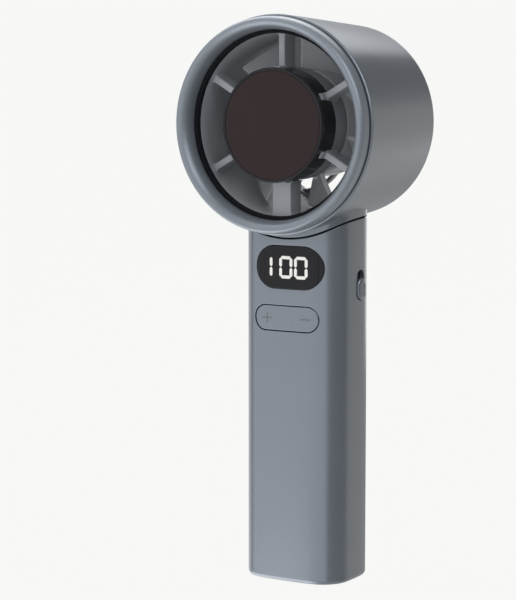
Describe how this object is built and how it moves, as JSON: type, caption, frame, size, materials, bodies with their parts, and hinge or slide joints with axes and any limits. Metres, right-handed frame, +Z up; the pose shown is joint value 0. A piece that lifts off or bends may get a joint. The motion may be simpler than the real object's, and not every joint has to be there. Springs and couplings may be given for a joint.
{
  "type": "handheld fan",
  "caption": "Handheld turbo fan: tapered round head with a cooled centre plate and ducted impeller, on a straight battery handle with a lit readout, rocker key and side slider.",
  "frame": {"origin": "centre of the handle's flat base", "axes": "+Z up along the handle to the head, -Y the way the air inlet and readout face, +X to the slider's side"},
  "size_m": [0.075, 0.0599, 0.1973],
  "materials": {
    "body_paint": "satin metallic blue-gray paint on moulded ABS",
    "duct_plastic": "fine-grained gray moulded plastic",
    "rotor_plastic": "semi-gloss gray moulded plastic",
    "black_gloss": "polished black plastic",
    "cooled_metal": "dark bronze anodised and polished",
    "lens_smoke": "smoked polycarbonate, polished",
    "lit_white": "white light-emitting strokes",
    "mark_paint": "dark print",
    "dark_foam": "closed-cell foam and soft rubber",
    "chassis_plastic": "dark gray glass-filled plastic",
    "board_green": "solder-masked circuit board",
    "component_black": "moulded chip packages",
    "module_ceramic": "fired alumina ceramic",
    "pad_gray": "heat-conducting pad",
    "sink_metal": "plain extruded aluminium",
    "screw_steel": "zinc-plated steel",
    "bearing_steel": "ground and polished bearing steel",
    "tube_brass": "turned brass",
    "core_steel": "stacked silicon-steel sheets, varnished",
    "winding_copper": "enamelled copper wire",
    "magnet_gray": "sintered magnet, nickel-plated",
    "cell_wrap": "steel can in a heat-shrink sleeve",
    "tab_nickel": "spot-welded nickel strip",
    "wire_red": "silicone-insulated stranded wire",
    "wire_black": "silicone-insulated stranded wire",
    "socket_steel": "drawn and plated steel",
    "module_white": "white reflector box"
  },
  "bodies": {
    "housing": {"head_shell": "body_paint", "bezel": "body_paint", "duct_gasket": "dark_foam", "duct_sleeve": "duct_plastic", "stator_hub": "duct_plastic", "duct_spokes": "duct_plastic", "hub_collar": "black_gloss", "plate_ring": "black_gloss", "cold_plate": "cooled_metal", "thermal_pads": "pad_gray", "peltier_module": "module_ceramic", "heat_sink": "sink_metal", "cooler_leads": "wire_red", "bearing_tube": "tube_brass", "bearing_outer_rings": "bearing_steel", "motor_board": "board_green", "motor_core": "core_steel", "motor_windings": "winding_copper", "motor_leads": "wire_black", "grille_rim": "duct_plastic", "grille_ribs": "duct_plastic", "grille_hub": "duct_plastic", "handle_tube": "body_paint", "neck_gasket": "dark_foam", "bottom_cap": "chassis_plastic", "cap_screws": "screw_steel", "chassis": "chassis_plastic", "chassis_screws": "screw_steel", "battery_cell": "cell_wrap", "battery_tabs": "tab_nickel", "battery_leads": "wire_red", "charge_board": "board_green", "charge_leads": "wire_black", "usb_socket": "socket_steel", "usb_tongue": "component_black", "main_board": "board_green", "board_components": "component_black", "board_screws": "screw_steel", "display_module": "module_white", "display_lens": "lens_smoke", "lit_segments": "lit_white", "key_frame": "chassis_plastic", "tact_switches": "component_black", "slide_switch": "component_black"},
    "rotor": {"impeller_hub": "rotor_plastic", "impeller_blades": "rotor_plastic", "spinner_cap": "rotor_plastic", "motor_shaft": "bearing_steel", "shaft_clip": "screw_steel", "rotor_yoke": "screw_steel", "rotor_magnets": "magnet_gray", "bearing_inner_rings": "bearing_steel"},
    "ball_set": {"bearing_balls": "bearing_steel"},
    "key": {"speed_key": "body_paint", "key_marks": "mark_paint"},
    "left_plunger": {"left_plunger": "component_black"},
    "right_plunger": {"right_plunger": "component_black"},
    "slider": {"side_slider": "body_paint", "switch_lever": "component_black"}
  },
  "joints": [
    {"name": "fan_spin", "type": "hinge", "parent": "housing", "child": "rotor", "pos_m": [0, 0, 0.1598], "axis": [0, 1, 0], "continuous": true},
    {"name": "ball_orbit", "type": "hinge", "parent": "housing", "child": "ball_set", "pos_m": [0, 0, 0.1598], "axis": [0, 1, 0], "continuous": true},
    {"name": "key_rock", "type": "hinge", "parent": "housing", "child": "key", "pos_m": [0, -0.0124, 0.0929], "axis": [0, 0, 1], "range_deg": [-2.5, 2.5], "stiffness_Nm_per_rad": 0.3},
    {"name": "left_press", "type": "slide", "parent": "housing", "child": "left_plunger", "axis": [0, 1, 0], "range_m": [-0.00034, 0.00034]},
    {"name": "right_press", "type": "slide", "parent": "housing", "child": "right_plunger", "axis": [0, 1, 0], "range_m": [-0.00034, 0.00034]},
    {"name": "power_slide", "type": "slide", "parent": "housing", "child": "slider", "axis": [0, 0, 1], "range_m": [0, 0.0027]}
  ],
  "couplings": [
    {"joint": "ball_orbit", "follows": "fan_spin", "ratio": 0.385},
    {"joint": "left_press", "follows": "key_rock", "m_per_rad": -0.0075},
    {"joint": "right_press", "follows": "key_rock", "m_per_rad": 0.0075}
  ]
}
